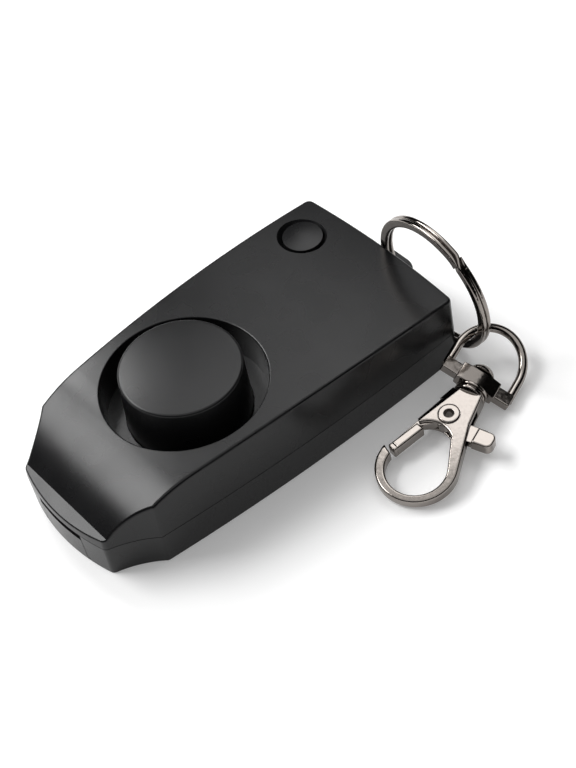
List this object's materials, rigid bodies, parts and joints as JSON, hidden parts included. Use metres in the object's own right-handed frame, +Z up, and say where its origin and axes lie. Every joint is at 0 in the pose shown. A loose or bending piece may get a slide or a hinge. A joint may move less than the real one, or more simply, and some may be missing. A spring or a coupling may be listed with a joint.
{
  "type": "personal_safety_alarm",
  "caption": "Personal safety alarm with a large press button, a small off button, a nose battery door, and a split ring with a swivel clasp",
  "frame": {"origin": "centre of the flat face that the case rests on", "axes": "+X across the case, +Y towards the key ring end, +Z up"},
  "size_m": [0.0617, 0.0856, 0.0281],
  "materials": {
    "black_case": "fine satin moulded surface",
    "black_button": "smooth semi-gloss moulded surface",
    "spring_steel": "drawn wire",
    "green_board": "solder mask over glass fibre board",
    "switch_plastic": "moulded, matt",
    "coil_copper": "enamelled winding on a ferrite core",
    "bright_steel": "nickel plated steel",
    "brass_plate": "rolled brass sheet",
    "ceramic_white": "silvered ceramic",
    "foam_grey": "closed cell foam",
    "red_lead": "insulated lead",
    "nickel_plate": "bright nickel plating, polished"
  },
  "bodies": {
    "case": {"top_shell": "black_case", "bottom_shell": "black_case", "alarm_switch_board": "green_board", "alarm_switch": "switch_plastic", "off_switch": "switch_plastic", "circuit_board": "green_board", "control_chip": "switch_plastic", "step_up_coil": "coil_copper", "driver_transistor": "switch_plastic", "storage_capacitor": "bright_steel", "siren_disc": "brass_plate", "siren_ceramic": "ceramic_white", "siren_retainer": "black_case", "siren_gasket": "foam_grey", "cell_front": "bright_steel", "cell_middle": "bright_steel", "cell_rear": "bright_steel", "front_contact": "bright_steel", "top_bridge_contact": "bright_steel", "rear_contact": "bright_steel", "siren_leads": "red_lead", "switch_leads": "red_lead", "battery_leads": "red_lead", "housing_screws": "bright_steel", "alarm_button_spring": "spring_steel"},
    "door": {"battery_door": "black_case", "door_bridge_contact": "bright_steel"},
    "alarm_press": {"alarm_button": "black_button"},
    "off_press": {"off_button": "black_button"},
    "split_ring": {"key_ring": "nickel_plate"},
    "swivel": {"swivel_ring": "nickel_plate"},
    "hook": {"swivel_stud": "nickel_plate", "clasp_hook": "nickel_plate", "lever_rivet": "nickel_plate", "gate_spring": "spring_steel"},
    "gate": {"gate_lever": "nickel_plate"}
  },
  "joints": [
    {"name": "alarm_button_press", "type": "slide", "parent": "case", "child": "alarm_press", "axis": [0, 0, -1], "range_m": [0, 0.0015], "stiffness_N_per_m": 600, "springref_m": -0.0005, "deforming": ["alarm_button_spring"]},
    {"name": "off_button_press", "type": "slide", "parent": "case", "child": "off_press", "axis": [0, 0, -1], "range_m": [0, 0.0006], "stiffness_N_per_m": 500, "springref_m": -0.0003},
    {"name": "battery_door_slide", "type": "slide", "parent": "case", "child": "door", "axis": [0, -1, 0], "range_m": [0, 0.024]},
    {"name": "key_ring_swing", "type": "hinge", "parent": "case", "child": "split_ring", "pos_m": [-0.0001, 0.0404, 0.0081], "axis": [0, 0, 1], "range_deg": [0, 20]},
    {"name": "swivel_ring_slide", "type": "hinge", "parent": "split_ring", "child": "swivel", "pos_m": [0.01315, 0.03957, 0.01409], "axis": [-0.0436, -0.998, -0.0454], "range_deg": [0, 100]},
    {"name": "hook_swivel", "type": "hinge", "parent": "swivel", "child": "hook", "pos_m": [0.0293, 0.03365, 0.00399], "axis": [0.3148, -0.9462, -0.075], "continuous": true},
    {"name": "gate_lever_open", "type": "hinge", "parent": "hook", "child": "gate", "pos_m": [0.03118, 0.02482, 0.00331], "axis": [0.0237, -0.0711, 0.9972], "range_deg": [0, 25], "stiffness_Nm_per_rad": 0.01, "springref_deg": -28.65}
  ]
}
